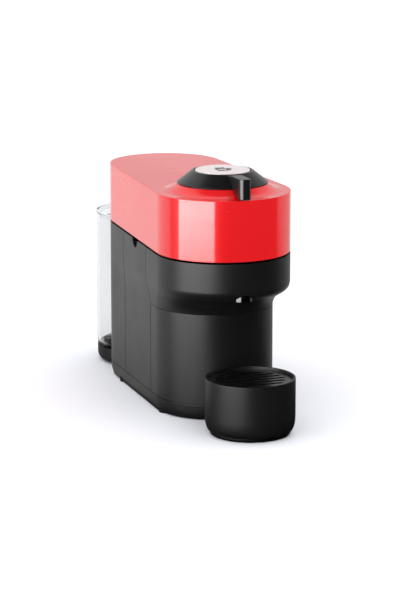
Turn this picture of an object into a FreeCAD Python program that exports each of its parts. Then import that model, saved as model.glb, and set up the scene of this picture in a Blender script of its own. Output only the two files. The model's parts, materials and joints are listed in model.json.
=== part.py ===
import FreeCAD, Part
import Sketcher
import math
import os

# Pod coffee machine with a lifting head, a turning lever, a spinning capsule
# drum, a pull-out capsule container with drip tray, and a lift-off water tank.
# Frame: origin on the floor under the middle of the machine, +X to the right of
# a viewer who faces the front, +Y to the back, +Z up. Millimetres.

App = FreeCAD
doc = App.newDocument("pod_coffee_machine")
sheet = doc.addObject("Spreadsheet::Sheet", "Sizes")
VALUES = {}
TEXTS = {}


class Size:
    """A number that remembers the sheet expression it comes from."""

    def __init__(self, value, text):
        self.value = float(value)
        self.text = text

    def _mix(self, other, sign, flip=False):
        ov, ot = (other.value, other.text) if isinstance(other, Size) else (float(other), "(%r)" % float(other))
        a, at, b, bt = (ov, ot, self.value, self.text) if flip else (self.value, self.text, ov, ot)
        num = {"+": a + b, "-": a - b, "*": a * b, "/": a / b if b else 0.0}[sign]
        return Size(num, "(%s %s %s)" % (at, sign, bt))

    def __add__(self, o): return self._mix(o, "+")
    def __radd__(self, o): return self._mix(o, "+", True)
    def __sub__(self, o): return self._mix(o, "-")
    def __rsub__(self, o): return self._mix(o, "-", True)
    def __mul__(self, o): return self._mix(o, "*")
    def __rmul__(self, o): return self._mix(o, "*", True)
    def __truediv__(self, o): return self._mix(o, "/")
    def __neg__(self): return self._mix(-1.0, "*")


def num(v):
    return v.value if isinstance(v, Size) else float(v)


def cell(alias, value, note):
    row = len(VALUES) + 1
    sheet.set("A%d" % row, alias)
    sheet.set("B%d" % row, "%g" % value)
    sheet.set("C%d" % row, note)
    sheet.setAlias("B%d" % row, alias)
    VALUES[alias] = value
    return Size(value, "Sizes." + alias)


def bind(obj, prop, v):
    if isinstance(v, Size):
        obj.setExpression(prop, v.text)


# ---------------------------------------------------------------- driving sizes
head_ya = cell("head_front_y", -87.3, "centre of the head's front circle, also the knob and drum axis")
head_ra = cell("head_front_r", 68.0, "radius of the head's front circle")
low_ya = cell("column_front_y", -58.5, "centre of the column's front circle")
low_ra = cell("column_front_r", 61.0, "radius of the column's front circle")
back_y = cell("back_centre_y", 89.6, "centre of the rounded back")
back_r = cell("back_radius", 58.7, "radius of the rounded back")
wall = cell("casing_wall", 2.5, "casing wall")
base_z0 = cell("base_low_z", 5.0, "underside of the base plate")
trim_z = cell("trim_line_z", 16.0, "seam round the foot of the body")
scurve_lo = cell("scurve_low_z", 108.4, "start of the overhang curve")
scurve_hi = cell("scurve_high_z", 138.0, "end of the overhang curve")
collar_top = cell("collar_top_z", 166.5, "top of the body")
head_z0 = cell("head_low_z", 168.6, "underside of the head's wall")
head_z1 = cell("head_top_z", 229.1, "flat top of the head")
head_wall = cell("head_wall", 2.5, "wall of the head")
seam_front = cell("front_seam_y", -41.0, "vertical seam behind the front column")
seam_back = cell("back_seam_y", 47.4, "vertical seam ahead of the rear casing")
seam_gap = cell("seam_gap", 0.35, "half width of a seam")
knob_r = cell("knob_radius", 45.8, "foot of the knob cone")
knob_z0 = cell("knob_low_z", 237.0, "foot of the knob cone")
knob_z1 = cell("knob_rim_z", 249.0, "rim of the knob cone")
rim_r = cell("knob_rim_r", 30.2, "rim of the knob cone")
button_r = cell("button_radius", 27.4, "radius of the button disc")
button_top = cell("button_top_z", 250.0, "top of the button disc")
lever_w = cell("lever_width", 12.0, "width of the lever")
lever_end = cell("lever_reach", 68.0, "reach of the lever from the knob axis")
tray_y = cell("tray_centre_y", -168.3, "centre of the drip tray")
tray_r = cell("tray_radius", 44.7, "radius of the drip tray")
tray_z1 = cell("tray_rim_z", 56.5, "rim of the drip tray")
tank_y = cell("tank_centre_y", 160.2, "centre of the tank's outer circle")
tank_r = cell("tank_radius", 52.8, "radius of the tank's outer circle")
tank_gap = cell("tank_gap", 2.4, "gap between the tank and the rounded back")
tank_z0 = cell("tank_low_z", 18.3, "underside of the tank")
tank_z1 = cell("tank_rim_z", 164.6, "rim of the tank")
tank_wall = cell("tank_wall", 2.0, "wall of the tank")
valve_x = cell("valve_x", -40.0, "axis of the tank valve and dock spigot")
valve_y = cell("valve_y", 157.0, "axis of the tank valve and dock spigot")
hinge_y = cell("hinge_y", 139.0, "head hinge axis")
hinge_z = cell("hinge_z", 177.0, "head hinge axis")
pin_r = cell("hinge_pin_r", 2.5, "radius of the hinge pin")
boss_r = cell("hinge_boss_r", 5.5, "radius of the hinge barrel and arms")
shaft_r = cell("drum_shaft_r", 4.0, "radius of the drum shaft")
run_gap = cell("running_gap", 0.05, "radial clearance of a running fit")
capsule_r = cell("capsule_radius", 31.0, "radius of the capsule's flange")
doc.recompute()

YK = head_ya          # axis shared by knob, drum, motor and clamp
made = []
nodes = []


def uid(name):
    made.append(name)
    return "%s_%d" % (name, len(made))


# ---------------------------------------------------------------- small tools
def place(obj, x=0, y=0, z=0, rot=None):
    obj.Placement = App.Placement(App.Vector(num(x), num(y), num(z)), rot or App.Rotation())
    for key, v in (("x", x), ("y", y), ("z", z)):
        bind(obj, "Placement.Base." + key, v)


def box(x0, x1, y0, y1, z0, z1):
    o = doc.addObject("Part::Box", uid("box"))
    for prop, v in (("Length", x1 - x0), ("Width", y1 - y0), ("Height", z1 - z0)):
        setattr(o, prop, num(v))
        bind(o, prop, v)
    place(o, x0, y0, z0)
    return o


AX = {"z": App.Rotation(), "x": App.Rotation(App.Vector(0, 1, 0), 90), "y": App.Rotation(App.Vector(1, 0, 0), -90)}


def cyl(x, y, z, r, length, axis="z"):
    o = doc.addObject("Part::Cylinder", uid("cyl"))
    o.Radius = num(r)
    o.Height = num(length)
    bind(o, "Radius", r)
    bind(o, "Height", length)
    place(o, x, y, z, AX[axis])
    return o


def ring(x, y, z, r1, r0, length, axis="z"):
    return cut(cyl(x, y, z, r1, length, axis), cyl(x, y, z, r0, length, axis))


def cone(x, y, z, r1, r2, length):
    o = doc.addObject("Part::Cone", uid("cone"))
    o.Radius1, o.Radius2, o.Height = num(r1), num(r2), num(length)
    bind(o, "Radius1", r1)
    bind(o, "Radius2", r2)
    bind(o, "Height", length)
    place(o, x, y, z)
    return o


def fuse(*parts):
    o = doc.addObject("Part::MultiFuse", uid("fuse"))
    o.Shapes = list(parts)
    o.Refine = True
    return o


def cut(base, *tools):
    for tool in tools:
        o = doc.addObject("Part::Cut", uid("cut"))
        o.Base, o.Tool = base, tool
        o.Refine = True
        base = o
    return base


def common(a, b):
    o = doc.addObject("Part::Common", uid("common"))
    o.Base, o.Tool = a, b
    o.Refine = True
    return o


def round_edges(base, pick, radius, chamfer=False):
    """Part fillet (or chamfer) on every edge that pick(edge) accepts."""
    doc.recompute()
    o = doc.addObject("Part::Chamfer" if chamfer else "Part::Fillet", uid("round"))
    o.Base = base
    edges = [(i + 1, num(radius), num(radius)) for i, e in enumerate(base.Shape.Edges) if pick(e)]
    if not edges:
        raise RuntimeError("no edge to round on " + base.Name)
    o.Edges = edges
    doc.recompute()
    if o.Shape.isNull() or not o.Shape.isValid():
        raise RuntimeError("rounding failed on " + base.Name)
    return o


def flat_at(z, tol=0.05):
    return lambda e: abs(e.BoundBox.ZMin - z) < tol and abs(e.BoundBox.ZMax - z) < tol


def plane_of(body, role):
    return [f for f in body.Origin.OriginFeatures if f.Role == role][0]


def new_sketch(body, role, offset=0):
    sk = body.newObject("Sketcher::SketchObject", uid("sketch"))
    sk.AttachmentSupport = (plane_of(body, role), "")
    sk.MapMode = "FlatFace"
    sk.AttachmentOffset = App.Placement(App.Vector(0, 0, num(offset)), App.Rotation())
    bind(sk, "AttachmentOffset.Base.z", offset)
    return sk


def datum(sk, kind, args, v):
    index = sk.addConstraint(Sketcher.Constraint(kind, *args, num(v)))
    if isinstance(v, Size):
        label = "d%d" % index
        sk.renameConstraint(index, label)
        sk.setExpression("Constraints." + label, v.text)


def at(sk, geo, pos, x, y):
    """Pins one sketch point to a place measured from the sketch origin."""
    if not isinstance(x, Size) and abs(x) < 1e-9:
        sk.addConstraint(Sketcher.Constraint("PointOnObject", geo, pos, -2))
    else:
        datum(sk, "DistanceX", (-1, 1, geo, pos), x)
    if not isinstance(y, Size) and abs(y) < 1e-9:
        sk.addConstraint(Sketcher.Constraint("PointOnObject", geo, pos, -1))
    else:
        datum(sk, "DistanceY", (-1, 1, geo, pos), y)


def draw_polygon(sk, pts):
    n = len(pts)
    for i in range(n):
        a, b = pts[i], pts[(i + 1) % n]
        sk.addGeometry(Part.LineSegment(App.Vector(num(a[0]), num(a[1]), 0), App.Vector(num(b[0]), num(b[1]), 0)), False)
    for i in range(n):
        sk.addConstraint(Sketcher.Constraint("Coincident", i, 2, (i + 1) % n, 1))
    for i in range(n):
        at(sk, i, 1, pts[i][0], pts[i][1])


def draw_plan(sk, ya, ra, yb, rb):
    """Outline round two circles on the Y axis, joined by tangent lines."""
    a, p, b, q = num(ya), num(ra), num(yb), num(rb)
    f = math.asin((p - q) / (b - a))
    c, s = math.cos(f), math.sin(f)
    v = App.Vector
    sk.addGeometry(Part.ArcOfCircle(Part.Circle(v(0, a, 0), v(0, 0, 1), p), math.pi - f, 2 * math.pi + f), False)
    sk.addGeometry(Part.LineSegment(v(p * c, a + p * s, 0), v(q * c, b + q * s, 0)), False)
    sk.addGeometry(Part.ArcOfCircle(Part.Circle(v(0, b, 0), v(0, 0, 1), q), f, math.pi - f), False)
    sk.addGeometry(Part.LineSegment(v(-q * c, b + q * s, 0), v(-p * c, a + p * s, 0)), False)
    for one, two in (((1, 1), (0, 2)), ((1, 2), (2, 1)), ((3, 1), (2, 2)), ((3, 2), (0, 1))):
        sk.addConstraint(Sketcher.Constraint("Tangent", one[0], one[1], two[0], two[1]))
    for geo, y, r in ((0, ya, ra), (2, yb, rb)):
        sk.addConstraint(Sketcher.Constraint("PointOnObject", geo, 3, -2))
        datum(sk, "DistanceY", (-1, 1, geo, 3), y)
        datum(sk, "Radius", (geo,), r)


def drafted(inset0, z0, inset1, z1):
    """Column outline that tapers from one inset to another."""
    sketches = []
    for inset, z in ((inset0, z0), (inset1, z1)):
        sk = doc.addObject("Sketcher::SketchObject", uid("section"))
        draw_plan(sk, low_ya, low_ra - inset, back_y, back_r - inset)
        place(sk, 0, 0, z)
        sketches.append(sk)
    loft = doc.addObject("Part::Loft", uid("loft"))
    loft.Sections = sketches
    loft.Solid = True
    loft.Ruled = True
    return loft


def plan_pad(ya, ra, yb, rb, z0, z1):
    body = doc.addObject("PartDesign::Body", uid("plan"))
    sk = new_sketch(body, "XY_Plane", z0)
    draw_plan(sk, ya, ra, yb, rb)
    pad = body.newObject("PartDesign::Pad", uid("pad"))
    pad.Profile = sk
    pad.Length = num(z1 - z0)
    bind(pad, "Length", z1 - z0)
    body.Tip = pad
    sk.Visibility = False
    return body


def head_plan(inset, z0, z1):
    return plan_pad(head_ya, head_ra - inset, back_y, back_r - inset, z0, z1)


def low_plan(inset, z0, z1):
    return plan_pad(low_ya, low_ra - inset, back_y, back_r - inset, z0, z1)


def prism(pts, role, z0, length):
    """Pad of a polygon sketched on an origin plane."""
    body = doc.addObject("PartDesign::Body", uid("prism"))
    sk = new_sketch(body, role, z0)
    draw_polygon(sk, pts)
    pad = body.newObject("PartDesign::Pad", uid("pad"))
    pad.Profile = sk
    pad.Length = num(length)
    bind(pad, "Length", length)
    body.Tip = pad
    return body


def turned(pts, x=0, y=0):
    """Revolution of a (radius, height) polygon about a vertical axis."""
    body = doc.addObject("PartDesign::Body", uid("turned"))
    sk = new_sketch(body, "XZ_Plane")
    draw_polygon(sk, pts)
    rev = body.newObject("PartDesign::Revolution", uid("rev"))
    rev.Profile = sk
    rev.ReferenceAxis = (sk, ["V_Axis"])
    rev.Angle = 360
    body.Tip = rev
    place(body, x, y, 0)
    return body


def tube_path(points, r, bend):
    """Hose along straight runs joined by tangent arcs, as a swept circle."""
    v = [App.Vector(*[num(c) for c in p]) for p in points]
    edges = []
    start = v[0]
    for i in range(1, len(v) - 1):
        d1 = (v[i] - v[i - 1]).normalize()
        d2 = (v[i + 1] - v[i]).normalize()
        turn = d1.getAngle(d2)
        t = bend * math.tan(turn / 2)
        p1, p3 = v[i] - d1 * t, v[i] + d2 * t
        mid_dir = (d2 - d1).normalize()
        centre_d = bend / math.cos(turn / 2)
        p2 = v[i] + mid_dir * (centre_d - bend)
        edges.append(Part.LineSegment(start, p1).toShape())
        edges.append(Part.Arc(p1, p2, p3).toShape())
        start = p3
    edges.append(Part.LineSegment(start, v[-1]).toShape())
    path = Part.Wire(edges)
    direction = (v[1] - v[0]).normalize()
    profile = Part.Wire([Part.Circle(v[0], direction, r).toShape()])
    shape = path.makePipeShell([profile], True, False)
    o = doc.addObject("Part::Feature", uid("hose"))
    o.Shape = shape
    return o


def node(label, obj):
    obj.Label = label
    nodes.append(obj)
    return obj


# ---------------------------------------------------------------- body outline
# The column grows into the head's outline through an S-shaped overhang.
STEPS = [(0.0, 1.0), (0.10, 0.965), (0.20, 0.91), (0.36, 0.76), (0.55, 0.45), (0.66, 0.25), (0.76, 0.115), (0.88, 0.03), (1.0, 0.0)]


def overhang(inset):
    sketches = []
    for t, f in STEPS:
        sk = doc.addObject("Sketcher::SketchObject", uid("section"))
        draw_plan(sk, head_ya + (low_ya - head_ya) * f, head_ra + (low_ra - head_ra) * f - inset, back_y, back_r - inset)
        place(sk, 0, 0, scurve_lo + (scurve_hi - scurve_lo) * t)
        sketches.append(sk)
    loft = doc.addObject("Part::Loft", uid("loft"))
    loft.Sections = sketches
    loft.Solid = True
    loft.Ruled = False
    return loft


def body_solid(inset, z0, z1):
    return fuse(low_plan(inset, z0, scurve_lo), overhang(inset), head_plan(inset, scurve_hi, z1))


outer = body_solid(0, trim_z + 0.3, collar_top)
inner = body_solid(wall, trim_z - 2, collar_top + 3)
shell = cut(outer, inner)
doc.recompute()
if not shell.Shape.isValid() or shell.Shape.Volume < 1000:
    raise RuntimeError("body shell failed")

notch_y = 0.4
notch_r = 10.5
BIG = 100
notch_cut = cyl(-BIG, notch_y, head_z0, notch_r, 2 * BIG, "x")
mid_band = box(-BIG, BIG, seam_front + seam_gap, seam_back - seam_gap, 0, 200)
mid = cut(common(shell, mid_band), notch_cut)
node("mid_casing_left", common(mid, box(-BIG, -20, -BIG, BIG, 0, 200)))
node("mid_casing_right", common(mid, box(20, BIG, -BIG, BIG, 0, 200)))

rear_box = box(-BIG, BIG, seam_back + seam_gap, 200, 0, 200)
gland_y = 96.0
gland_z = 30.0
rear = cut(common(shell, rear_box), cyl(40, gland_y, gland_z, 5.2, 40, "x"))
node("rear_casing", rear)

# ---------------------------------------------------------------- coffee outlet
OY = -150.0
LENS = 6.0


def lens(r, z0, z1):
    """Lens-shaped column: the overlap of two cylinders in front of and behind the outlet axis."""
    return common(cyl(0, OY - LENS, z0, r, z1 - z0), cyl(0, OY + LENS, z0, r, z1 - z0))


spout_hole = lens(10.4, 110, 140)
collar_band = box(-BIG, BIG, -200, seam_front - seam_gap, scurve_lo, 200)
node("front_collar", cut(common(shell, collar_band), spout_hole))

HY = OY + 0.4
node("outlet_trim", cut(lens(10.0, 127.7, 139), lens(8.9, 127, 140)))
node("coffee_outlet", cut(lens(8.8, 128.8, 139), cyl(-2.4, HY, 120, 1.4, 30), cyl(2.4, HY, 120, 1.4, 30)))

# ---------------------------------------------------------------- base
# The side walls stop 5 mm above the floor; at the front and the back they run on
# down almost to the floor, and a rubber foot stands at the end of each run.
FEET = ((-54.3, -66.5), (54.3, -66.5), (-52.8, 68.0), (52.8, 68.0))
SCREWS = ((-30, 60), (30, 60), (-30, -60), (30, -60))
plate = fuse(drafted(1.0, base_z0, 0.5, 8.0), drafted(0.5, 8.0, 0, trim_z - 0.2))
plate = cut(plate, low_plan(9, base_z0 - 1, trim_z - 3.2))
skirt = cut(drafted(2.3, 1.0, 1.0, base_z0), low_plan(3.2, 0, base_z0 + 1))
skirt = cut(skirt, box(-BIG, BIG, -64, 66, 0, base_z0 + 1), *[cyl(x, y, 0, 6.05, base_z0 - 0.02) for x, y in FEET])
node("base_plate", fuse(plate, skirt))
cover = fuse(common(low_plan(1.7, 0.5, base_z0 - 0.05), box(-BIG, BIG, -63.9, 65.9, 0, 20)), low_plan(3.3, 0.5, base_z0 - 0.05))
cover = cut(cover, *[cyl(x, y, 0, 6.05, 9) for x, y in FEET])
cover = cut(cover, *[fuse(cyl(x, y, 0, 3.3, 3.75), cyl(x, y, 3, 1.7, 7)) for x, y in SCREWS])
node("bottom_cover", cover)
pads = fuse(*[cyl(x, y, 0, 6.0, base_z0 - 0.1) for x, y in FEET])
dock_pads = fuse(cyl(-26, 184, 0, 6, 1.0), cyl(26, 184, 0, 6, 1.0))
node("rubber_feet", fuse(pads, dock_pads))

# Frame between the capsule side and the wet side, with cheeks behind the notches.
bulk = common(box(-56.9, 56.9, 17, 20, trim_z, 159.8), body_solid(wall + 0.2, trim_z - 1, collar_top))
cheek = fuse(box(-62.0, -59.5, notch_y - 13, notch_y + 19.6, 150, 159.8), box(59.5, 62.0, notch_y - 13, notch_y + 19.6, 150, 159.8))
cheek = common(cheek, body_solid(wall + 0.2, trim_z - 1, collar_top))
lower_cheek = fuse(box(-57.5, -52, 12, 20, 140, 152), box(52, 57.5, 12, 20, 140, 152))
node("inner_frame", fuse(bulk, cheek, common(lower_cheek, body_solid(wall + 0.2, trim_z - 1, collar_top)),
                         common(box(-64, 64, 17, 20, 148, 159.8), body_solid(wall + 0.2, trim_z - 1, collar_top))))

# Deck that closes the body under the head.
DZ0, DZ1 = 160.0, 163.0
deck = head_plan(wall + 0.2, DZ0, DZ1)
deck = cut(deck, cyl(0, YK, DZ0 - 1, 40.2, 5), box(-33, 33, -42, 2, DZ0 - 1, DZ1 + 1), cyl(0, 112, DZ0 - 1, 4.2, 5))
node("top_deck", deck)

chute = cut(box(-35, 35, -44, 4, 100, DZ0 - 0.1), box(-33, 33, -42, 2, 99, DZ0 + 1))
node("capsule_chute", chute)

# Ring trough that catches the coffee flung from the capsule's rim, with its duct.
trough = turned([(35.2, 146), (42.5, 146), (42.5, 159.9), (41, 159.9), (41, 148), (36.7, 148), (36.7, 156), (35.2, 156)], 0, YK)
duct = fuse(trough, box(-9, 9, -151.7, -128.9, 139.1, 150))
duct = cut(duct, box(-6, 6, -150.5, -124.4, 141, 148.2), cyl(-2.4, HY, 130, 1.4, 12), cyl(2.4, HY, 130, 1.4, 12))
node("coffee_collector", duct)

# Motor under the drum.
mount_plate = fuse(box(-50, 50, -89, -66, 121.4, 124.4), cyl(0, YK, 121.4, 30, 3))
posts = fuse(*[cyl(x, y, 124.4, 2.5, DZ0 - 0.1 - 124.4) for x, y in ((-47.2, -84), (47.2, -84), (-47.2, -71), (47.2, -71))])
mount = cut(fuse(mount_plate, posts), cyl(0, YK, 120, 10.05, 6))
node("motor_mount", mount)
node("motor_stator", ring(0, YK, 103.5, 26, 17.5, 17.9))
node("drum_bearings", fuse(ring(0, YK, 121.4, 10, shaft_r + run_gap, 3), ring(0, YK, 124.5, 10, shaft_r + run_gap, 2)))

# Hinge bracket: a foot on the deck, a riser and a barrel trimmed to the rounded back.
foot = box(-14.5, 14.5, 118, 139, DZ1, 166.4)
riser = prism([(132.0, 166), (143.0, 166), (144.3, 176.5), (134.2, 178.5)], "YZ_Plane", -14.5, 29)
barrel = cyl(-14.5, hinge_y, hinge_z, boss_r, 29, "x")
bracket = cut(common(fuse(foot, riser, barrel), plan_pad(head_ya, head_ra, back_y, back_r, 160, 190)), cyl(-20, hinge_y, hinge_z, pin_r, 40, "x"))
node("hinge_bracket", bracket)
node("hinge_pin", cyl(-21.4, hinge_y, hinge_z, pin_r, 42.8, "x"))

# Bayonet hooks that the lever's lock ring turns under.
hook_l = fuse(box(-50.5, -47, -91.3, -83.3, DZ1, 184), box(-47, -42.5, -91.3, -83.3, 180.5, 184))
hook_r = fuse(box(47, 50.5, -91.3, -83.3, DZ1, 184), box(42.5, 47, -91.3, -83.3, 180.5, 184))
node("latch_hooks", fuse(hook_l, hook_r))

# Wet side: pump, flow meter, heater, board.
pump = fuse(cyl(-27, 48, 32, 16.5, 44), cyl(-27, 48, 76, 8, 26), cyl(-27, 48, 26, 5, 6))
node("pump_body", pump)
damp = cut(fuse(box(-46, -8, 29.5, 66.5, 26, 31.9), box(-37, -17, 20.1, 66, trim_z - 0.1, 26)), cyl(-27, 48, 17.5, 5.3, 30), cyl(-27, 48, 21.6, 4.2, 20, "x"))
node("pump_mounts", damp)
heater = fuse(cyl(26, 50, 40, 20, 66), cyl(26, 50, 106, 5, 8), cyl(26, 50, 32, 5, 8), box(20, 32, 69, 74, 60, 90))
node("heater_block", heater)
node("heater_bracket", cut(box(4, 48, 26, 72, trim_z - 0.1, 39.9), box(8, 44, 20, 80, trim_z + 3, 36.9), cyl(26, 50, 30, 5.3, 12), cyl(0, 50, 24, 3.4, 16, "x")))
node("flow_meter", fuse(cyl(-18, 98, 24, 14, 14), cyl(-18, 98, 38, 4, 8), cyl(-18, 108, 31, 4, 12, "y"), box(-26, -10, 90, 106, trim_z - 0.1, 24)))
board = fuse(box(-38, 38, 119, 120.6, 60, 140), box(-30, -14, 109, 119, 100, 124), box(6, 22, 105, 119, 72, 96), cyl(-16, 113.5, 70, 6, 22))
node("circuit_board", board)

node("inlet_hose", tube_path([(-18, 138, 15.9), (-18, 138, 31), (-18, 120, 31)], 3.2, 9))
node("pump_hose", tube_path([(-18, 98, 46), (-18, 98, 56), (-2, 84, 56), (-2, 58, 22), (-14, 48, 21.6), (-27, 48, 21.6), (-27, 48, 26)], 2.4, 2.6))
node("heater_hose", tube_path([(-27, 48, 102), (-27, 48, 120), (-2, 50, 120), (-2, 50, 24), (26, 50, 24), (26, 50, 32)], 2.4, 6))
node("brew_hose", tube_path([(26, 50, 114), (26, 50, 128), (0, 76, 142), (0, 112, 150), (0, 112, 166)], 2.4, 8))

# Tank dock: crescent behind the rounded back.
dock_out = cut(cyl(0, tank_y, 1.0, tank_r - 0.4, tank_z0 - 0.3 - 1.0), cyl(0, back_y, -5, back_r + tank_gap, 40))
dock_out = round_edges(dock_out, lambda e: flat_at(1.0)(e) and e.BoundBox.YMax > 205, 8)
bridge = box(-22, 22, 140, 152, base_z0 + 4, trim_z + 0.2)
bridge = cut(bridge, low_plan(-0.05, 0, 60))
spig_hole = cyl(valve_x, valve_y, 10, 6, 20)
node("tank_dock", cut(fuse(dock_out, bridge), spig_hole))
node("dock_spigot", cut(fuse(cyl(valve_x, valve_y, 10, 5.9, 7.8), cyl(valve_x, valve_y, 17.8, 3.4, 1.2)), cyl(valve_x, valve_y, 12, 1.8, 20)))
node("dock_seal", ring(valve_x, valve_y, 17.8, 5.6, 3.45, 0.7))

# Power inlet gland in the right rear side. The cord itself is not part of the model.
node("power_gland", cut(fuse(cyl(53.2, gland_y, gland_z, 5.1, 8.4, "x"), cyl(50, gland_y, gland_z, 7.5, 3.2, "x")), cyl(49, gland_y, gland_z, 3.4, 20, "x")))

screws = []
for sx, sy in SCREWS:
    screws += [fuse(cyl(sx, sy, 1.7, 3.2, 2), cyl(sx, sy, 3.7, 1.6, 8))]
screw_set = fuse(*screws)
node("casing_screws", screw_set)

# ---------------------------------------------------------------- head
block = head_plan(0, head_z0, head_z1)
block = round_edges(block, flat_at(num(head_z1)), 0.9)
# Concave mound that rises from the flat top to the foot of the knob.
mound_pts = [(0.0, head_z1 - 6), (61.5, head_z1 - 6), (61.5, head_z1 - 0.02), (58.5, head_z1 + 0.25), (55.2, head_z1 + 1.0), (51.8, head_z1 + 2.5),
             (48.5, head_z1 + 4.6), (45.4, head_z1 + 7.3), (0.0, knob_z0 - 0.4)]
mound = turned(mound_pts, 0, YK)
hollow = head_plan(head_wall, head_z0 - 1, head_z1 - head_wall)
mound_hollow = cone(0, YK, head_z1 - 8, 44, 38, 8 + 4)
bore = cyl(0, YK, 200, 33.5, 60)
back_cut = box(-22.4, 22.4, 128, 160, 160, 185.5)
head_shell = cut(fuse(block, mound), hollow, mound_hollow, bore, back_cut)
node("head_shell", head_shell)

CZ0, CZ1 = 169.6, 172.2
floor_plate = head_plan(head_wall + 0.15, CZ0, CZ1)
floor_plate = cut(floor_plate, cyl(0, YK, CZ0 - 1, 35.2, 5), box(-52.5, -36, -94.5, -80, 160, CZ1 + 1), box(36, 52.5, -94.5, -80, 160, CZ1 + 1),
                  box(-22.6, 22.6, 126, 160, 160, 200), cyl(0, 112, CZ0 - 1, 5.5, 5))
arms = []
for s in (-1, 1):
    xa = 15.0 if s > 0 else -21.0
    arms.append(fuse(cyl(xa, hinge_y, hinge_z, boss_r, 6, "x"), prism([(118, CZ0 + 0.1), (129, CZ0 + 0.1), (138.5, 172.5), (138.5, 181.5), (118, 181.5)], "YZ_Plane", xa, 6),
                     box(xa if s > 0 else xa - 3, xa + 9 if s > 0 else xa + 6, 112, 126, CZ0, 181.5)))
arm_bores = cyl(-30, hinge_y, hinge_z, pin_r + run_gap, 60, "x")
tower = ring(0, YK, 196, 22, 12.05, 5)
spider = fuse(box(-22, 22, YK - 60, YK - 56, CZ1 - 0.1, 201), box(-5, 5, YK - 60, YK - 20, 196, 201), box(-5, 5, YK + 20, YK + 60, 196, 201),
              box(-22, 22, YK + 56, YK + 60, CZ1 - 0.1, 201))
column = ring(0, YK, 200.9, 24, 21.5, 37.6)
chassis = fuse(floor_plate, arms[0], arms[1], tower, spider, column)
chassis = cut(chassis, arm_bores, cyl(0, YK, 206.5, 3.0, 40, "y"))
node("head_chassis", chassis)
node("clamp_bearing", ring(0, YK, 196, 12, 8.05, 5))

# Injector pipe: from the swivel fitting beside the hinge to the needle's hub.
node("injector_pipe", tube_path([(0, 112, 174.4), (0, 112, 206.5), (0, num(YK), 206.5), (0, num(YK), 202.2)], 2.4, 4))
node("button_board", ring(0, YK, 238.6, 26.5, 12, 1.6))

# Clamp bell that presses the capsule on the drum and spins with it.
bell = turned([(8.0, 167.2), (8.0, 170.5), (24, 172), (29.6, 171), (29.6, 167.2), (34, 167.2), (34, 172), (30, 178), (8.0, 182), (8.0, 201.4), (2.65, 201.4), (2.65, 167.2)], 0, YK)
node("clamp_bell", bell)
node("piercing_needle", turned([(0.0, 154), (1.9, 160), (1.9, 168), (2.6, 169), (2.6, 201), (1.2, 201), (1.2, 170), (0.0, 170)], 0, YK))

# ---------------------------------------------------------------- knob, lever, button
cone_pts = [(knob_r - 0.2, knob_z0 + 0.1), (rim_r + 0.6, knob_z1 - 0.5), (rim_r, knob_z1), (rim_r - 1.6, knob_z1), (button_r + 0.6, knob_z1 - 1.2),
            (button_r + 0.6, 241.4), (30.0, 240.4), (30.0, 214), (33.0, 214), (33.0, knob_z0 + 0.1)]
knob = turned(cone_pts, 0, YK)
lever_reach_y = YK - lever_end
lever_pts = [(YK - 33.0, 242.0), (YK - 43.0, 237.0), (YK - 46.2, 236.9), (YK - 50.0, 234.4), (YK - 56.0, 232.0), (YK - 61.0, 230.6), (YK - 64.4, 229.8), (lever_reach_y + 0.6, 229.7), (lever_reach_y, 230.3),
             (lever_reach_y, 248.9), (lever_reach_y + 1.2, 250.0), (YK - 41.5, 250.0), (YK - 33.0, 248.2)]
blade = round_edges(prism(lever_pts, "YZ_Plane", -lever_w / 2, lever_w), lambda e: e.BoundBox.ZLength > 15 and e.BoundBox.YMax < num(lever_reach_y) + 0.1, 4.6)
cone_core = turned([(0.0, 236), (knob_r - 0.15, 236), (knob_r - 0.15, knob_z0 + 0.05), (rim_r + 0.65, knob_z1 - 0.45), (0.0, knob_z1 - 0.45)], 0, YK)
blade = cut(blade, cone_core)
node("knob_cone", knob)
node("lever_handle", blade)
lock_ring = fuse(ring(0, YK, 209.5, 33.0, 28.5, 4.4), ring(0, YK, 175.0, 39.0, 35.6, 5.0))
strut = [box(-38.6, -35.7, YK - 4, YK + 4, 175, 213.9), box(35.7, 38.6, YK - 4, YK + 4, 175, 213.9), box(-38.6, -28.6, YK - 4, YK + 4, 209.5, 213.9), box(28.6, 38.6, YK - 4, YK + 4, 209.5, 213.9)]
lug = []
for a in (45, 225):
    b = box(38.0, 45.6, -4, 4, 175.2, 179.6)
    b.Placement = App.Placement(App.Vector(0, num(YK), 0), App.Rotation(App.Vector(0, 0, 1), a)).multiply(b.Placement)
    lug.append(b)
lock_ring = fuse(lock_ring, *strut, *lug)
node("lock_ring", lock_ring)

cap = turned([(0.0, 245.6), (24.5, 245.6), (24.5, 243.4), (button_r, 243.4), (button_r, button_top - 1.1), (button_r - 0.9, button_top - 0.15), (0.0, button_top - 0.15)], 0, YK)
node("button_cap", cap)
icon = fuse(box(-5.2, 3.6, YK - 4.2, YK + 3.0, 249.85, button_top), box(3.6, 6.2, YK - 2.2, YK + 1.4, 249.85, button_top),
            box(-3.6, -2.6, YK + 4.6, YK + 7.4, 249.85, button_top), box(-1.1, -0.1, YK + 4.6, YK + 8.2, 249.85, button_top), box(1.4, 2.4, YK + 4.6, YK + 7.4, 249.85, button_top))
node("button_icon", icon)
node("button_spring", ring(0, YK, 240.3, 9.0, 6.4, 5.2))

# ---------------------------------------------------------------- drum
drum = turned([(0.0, 128), (10.0, 128), (28.0, 134), (32.6, 142), (34.4, 161.4), (38.0, 162.2), (38.0, 165.2), (capsule_r + 0.6, 165.2), (capsule_r + 0.6, 163.4),
               (30.0, 163.0), (29.4, 144), (26.0, 137.4), (8.0, 131.4), (0.0, 131.4)], 0, YK)
node("capsule_drum", drum)
node("drum_shaft", cyl(0, YK, 102, shaft_r, 26))
node("motor_rotor", ring(0, YK, 104, 16.8, shaft_r, 16.8))

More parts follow.
